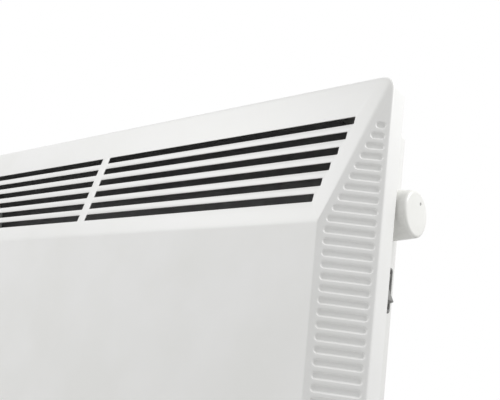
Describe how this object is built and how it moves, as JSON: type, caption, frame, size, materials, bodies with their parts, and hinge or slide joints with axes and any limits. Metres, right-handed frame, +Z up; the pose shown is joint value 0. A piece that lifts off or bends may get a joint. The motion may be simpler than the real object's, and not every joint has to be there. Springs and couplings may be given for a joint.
{
  "type": "wall panel convector heater",
  "caption": "Wall-hung electric panel convector: slotted top bevel, ribbed cheeks, side thermostat knob and rocker switch.",
  "frame": {"origin": "centre of the wall bracket's back face, on the wall", "axes": "+X to the right seen from the front, +Z up, +Y into the wall; the front faces -Y"},
  "size_m": [0.6014, 0.0958, 0.4],
  "materials": {
    "powder_white": "white powder coat",
    "white_plastic": "satin moulded white",
    "dark_plastic": "dark grey moulded",
    "zinc_steel": "zinc plated",
    "aluminium": "mill finish",
    "black_paint": "black heat-proof paint",
    "rod_steel": "heat-browned",
    "brass": "plain",
    "ceramic": "unglazed",
    "wire_brown": "silicone",
    "wire_grey": "silicone",
    "copper": "copper tube"
  },
  "bodies": {
    "casing": {"cable_gland": "dark_plastic", "capillary_tube": "copper", "cutout_bracket": "zinc_steel", "earth_stud": "brass", "element_bracket_left": "zinc_steel", "element_bracket_right": "zinc_steel", "element_bush_left": "ceramic", "element_bush_right": "ceramic", "element_fins": "aluminium", "front_panel": "powder_white", "gland_locknut": "dark_plastic", "heat_shield": "aluminium", "heating_rod": "rod_steel", "outlet_deflector": "black_paint", "overheat_cutout": "ceramic", "panel_lug_1": "zinc_steel", "panel_lug_2": "zinc_steel", "panel_lug_3": "zinc_steel", "panel_lug_4": "zinc_steel", "panel_screw_1": "zinc_steel", "panel_screw_2": "zinc_steel", "panel_screw_3": "zinc_steel", "panel_screw_4": "zinc_steel", "rear_casing": "powder_white", "rod_terminal_left": "brass", "rod_terminal_right": "brass", "switch_housing": "dark_plastic", "switch_pivot": "zinc_steel", "switch_terminal_1": "brass", "switch_terminal_2": "brass", "switch_terminal_3": "brass", "terminal_block": "white_plastic", "thermostat_body": "white_plastic", "thermostat_bulb": "zinc_steel", "thermostat_collar": "brass", "thermostat_screw_1": "zinc_steel", "thermostat_screw_2": "zinc_steel", "wall_bracket": "zinc_steel", "wall_bumper_left": "dark_plastic", "wall_bumper_right": "dark_plastic", "wire_neutral": "wire_grey", "wire_supply": "wire_brown", "wire_switch_thermostat": "wire_brown", "wire_thermostat_cutout": "wire_grey"},
    "thermostat": {"thermostat_knob": "white_plastic", "knob_dot": "dark_plastic", "thermostat_spindle": "zinc_steel"},
    "rocker": {"switch_rocker": "dark_plastic"}
  },
  "joints": [
    {"name": "thermostat_turn", "type": "hinge", "parent": "casing", "child": "thermostat", "pos_m": [0.2795, -0.03575, 0.1072], "axis": [1, 0, 0], "range_deg": [-95, 175]},
    {"name": "rocker_tilt", "type": "hinge", "parent": "casing", "child": "rocker", "pos_m": [0.2765, -0.03375, 0.055], "axis": [0, 1, 0], "range_deg": [0, 22]}
  ]
}
